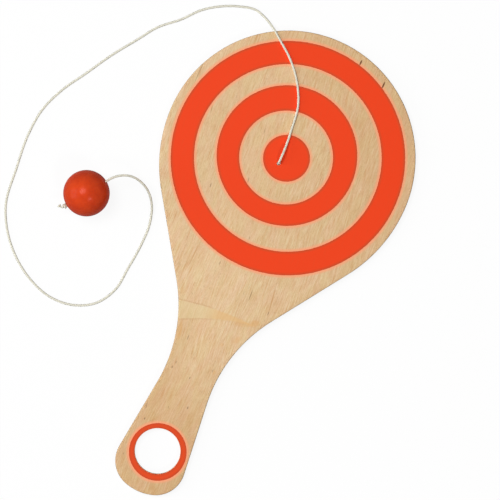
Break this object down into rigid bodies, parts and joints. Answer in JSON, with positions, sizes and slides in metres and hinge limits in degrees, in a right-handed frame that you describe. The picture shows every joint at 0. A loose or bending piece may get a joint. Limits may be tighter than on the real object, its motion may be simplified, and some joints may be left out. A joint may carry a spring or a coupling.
{
  "type": "paddle ball game",
  "caption": "Flat wooden paddle with a printed ring target and a hole in the handle, and a rubber ball on an elastic cord knotted through the paddle and the ball.",
  "frame": {"origin": "centre of the round head of the paddle, on its flat back face", "axes": "+Y along the paddle from the handle to the head, +Z out of the printed face, +X to the right as seen from the front"},
  "size_m": [0.2136, 0.2805, 0.0264],
  "materials": {
    "face_veneer": "sanded pale hardwood veneer, thinly sealed, fine dark pores along the grain",
    "core_veneer": "cross-grained core veneer, seen only at the sanded edge",
    "back_veneer": "sanded pale hardwood veneer, thinly sealed",
    "print_ink": "screen-printed orange-red ink, satin",
    "elastic_cord": "white braided cover over a rubber core",
    "ball_rubber": "smooth satin red rubber"
  },
  "bodies": {
    "paddle": {"face_veneer": "face_veneer", "core_veneer": "core_veneer", "back_veneer": "back_veneer", "target_bullseye": "print_ink", "target_middle_ring": "print_ink", "target_outer_ring": "print_ink", "handle_hole_ring": "print_ink", "elastic_cord": "elastic_cord", "cord_in_paddle": "elastic_cord", "paddle_knot": "elastic_cord"},
    "cord_end": {"cord_in_ball": "elastic_cord", "ball_knot": "elastic_cord"},
    "ball": {"ball": "ball_rubber"}
  },
  "joints": [
    {"name": "ball_pull", "type": "slide", "parent": "paddle", "child": "cord_end", "axis": [-0.8, -0.6, 0], "range_m": [0, 0.36], "deforming": ["elastic_cord"]},
    {"name": "ball_spin", "type": "hinge", "parent": "cord_end", "child": "ball", "pos_m": [-0.096, -0.0655, 0.0132], "axis": [0.561, 0.8013, 0.2079], "continuous": true}
  ]
}
